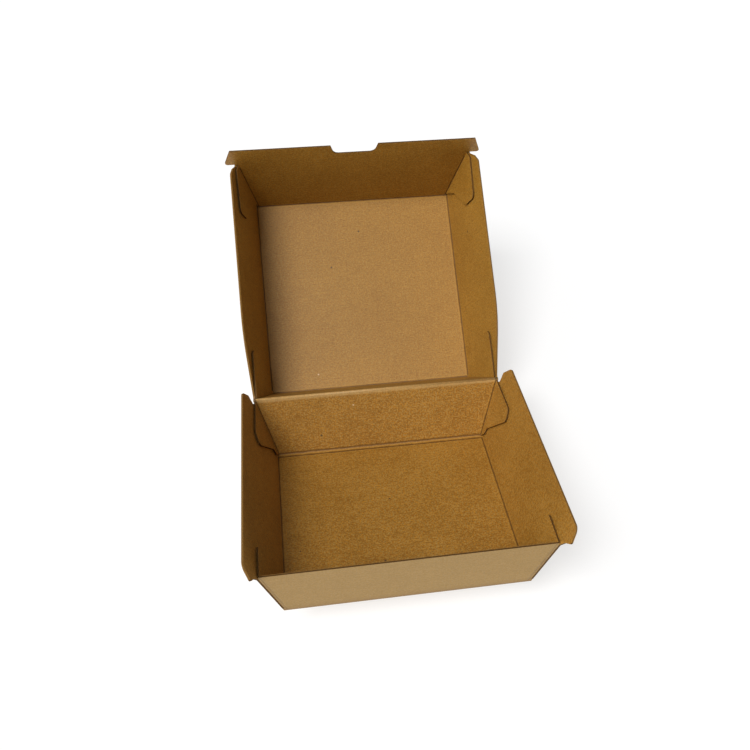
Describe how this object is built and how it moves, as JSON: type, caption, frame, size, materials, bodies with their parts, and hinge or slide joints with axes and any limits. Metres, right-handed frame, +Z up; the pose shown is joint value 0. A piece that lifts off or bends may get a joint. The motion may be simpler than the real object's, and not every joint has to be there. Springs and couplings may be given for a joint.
{
  "type": "takeaway box",
  "caption": "Hinged takeaway box folded from one sheet of kraft board, open: flared tray, lid on a crease at the back, corner ears, lock wings and a thumb notch.",
  "frame": {"origin": "centre of the bounding box at the level the open box rests on", "axes": "+X to the box's right, -Y towards its front, +Z up; the box stands as it rests when open, tipped back on the creases under its two back walls"},
  "size_m": [0.194, 0.3536, 0.1565],
  "materials": {
    "kraft_board": "matte"
  },
  "bodies": {
    "base": {"base_tray": "kraft_board"},
    "lid": {"lid_tray": "kraft_board"}
  },
  "joints": [
    {"name": "lid_hinge", "type": "hinge", "parent": "base", "child": "lid", "pos_m": [0, 0.00509, 0.04008], "axis": [-1, 0, 0], "range_deg": [-102, 45]}
  ]
}
